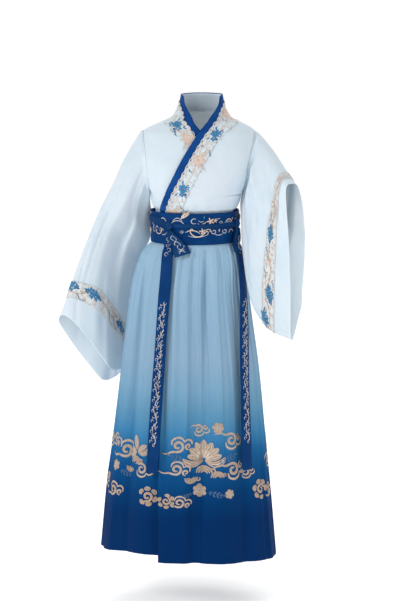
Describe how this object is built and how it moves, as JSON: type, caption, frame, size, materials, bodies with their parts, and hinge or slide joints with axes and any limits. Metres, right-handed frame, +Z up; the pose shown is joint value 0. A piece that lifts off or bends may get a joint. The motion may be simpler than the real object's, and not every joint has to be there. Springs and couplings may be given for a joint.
{
  "type": "hanfu robe",
  "caption": "Child's hanfu set in worn form: cross-collar blouse with wide sleeves, embroidered sash with tied ends, and a long pleated wrap skirt.",
  "frame": {"origin": "base of the neck, inside the collar, between the shoulder seams: where a hanger or a figure's neck carries the garment", "axes": "+Z up, the front of the garment faces -Y, the wearer's left is +X"},
  "size_m": [0.5756, 0.3314, 1.0951],
  "materials": {
    "blouse_cloth": "soft chiffon",
    "band_cloth": "satin",
    "trim_cloth": "embroidered",
    "sash_cloth": "embroidered satin",
    "tie_cloth": "satin",
    "skirt_cloth": "soft chiffon, pale above and navy below"
  },
  "bodies": {
    "root": {"blouse_back": "blouse_cloth", "blouse_front_outer": "blouse_cloth", "blouse_front_inner": "blouse_cloth", "sleeve_right": "blouse_cloth", "sleeve_left": "blouse_cloth", "collar_band_outer": "band_cloth", "collar_band_inner": "band_cloth", "collar_trim_outer": "trim_cloth", "collar_trim_inner": "trim_cloth", "sleeve_trim_right": "trim_cloth", "sleeve_trim_left": "trim_cloth", "waistband": "sash_cloth", "belt_tie": "tie_cloth", "knot_right": "tie_cloth", "knot_left": "tie_cloth", "loop_right": "tie_cloth", "loop_left": "tie_cloth", "tail_right": "tie_cloth", "tail_left": "tie_cloth", "skirt_front": "skirt_cloth", "skirt_back": "skirt_cloth", "skirt_under": "skirt_cloth"}
  },
  "joints": []
}
